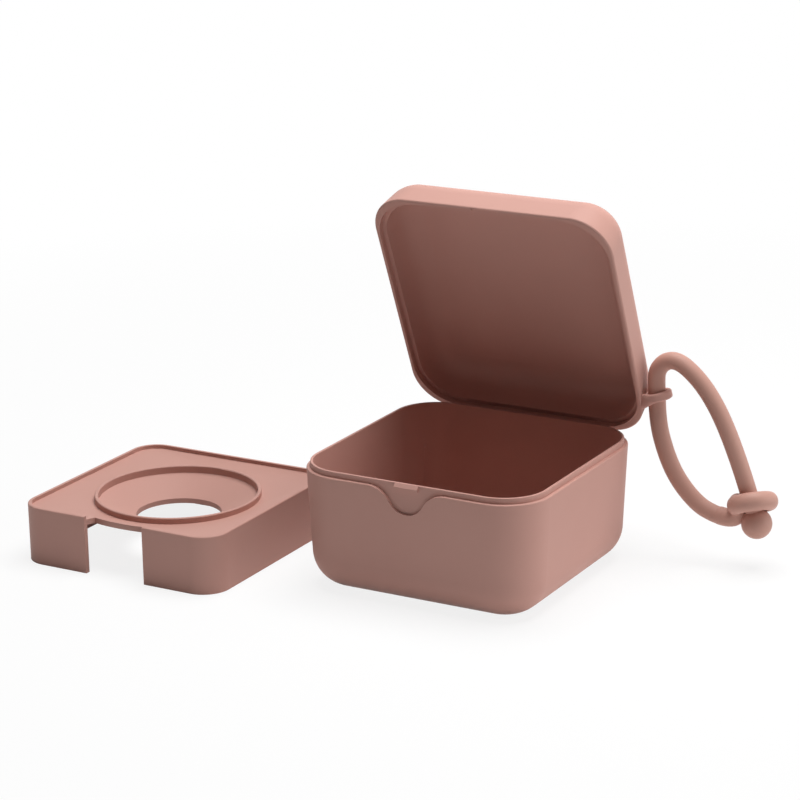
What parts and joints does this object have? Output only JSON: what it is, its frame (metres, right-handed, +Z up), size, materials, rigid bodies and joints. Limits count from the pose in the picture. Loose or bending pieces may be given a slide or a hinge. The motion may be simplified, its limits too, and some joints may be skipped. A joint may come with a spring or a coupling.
{
  "type": "pacifier_case",
  "caption": "Square pink pacifier case with an open hinged lid, a loose tray standing beside it and a silicone strap looped through an eyelet on the lid",
  "frame": {"origin": "middle of the base's flat underside, on the floor", "axes": "+X right along the front wall, +Y from the front wall to the hinge, +Z up"},
  "size_m": [0.1993, 0.1045, 0.1071],
  "materials": {
    "pink_plastic": "fine matt moulded surface",
    "pink_silicone": "smooth satin silicone"
  },
  "bodies": {
    "base": {"base": "pink_plastic", "hinge_pin": "pink_plastic"},
    "lid": {"lid": "pink_plastic"},
    "strap": {"strap_ball_run": "pink_silicone", "strap_eye_run": "pink_silicone", "strap_eye": "pink_silicone", "strap_ball": "pink_silicone"},
    "tray": {"tray": "pink_plastic"}
  },
  "joints": [
    {"name": "lid_hinge", "type": "hinge", "parent": "base", "child": "lid", "pos_m": [0, 0.0382, 0.0338], "axis": [-1, 0, 0], "range_deg": [-67, 38]},
    {"name": "strap_swivel", "type": "hinge", "parent": "lid", "child": "strap", "pos_m": [0.0411, 0.03893, 0.04749], "axis": [0, 0, 1], "range_deg": [-45, 45]},
    {"name": "tray_lift", "type": "slide", "parent": "base", "child": "tray", "axis": [0, 0, 1], "range_m": [0, 0.08]}
  ]
}
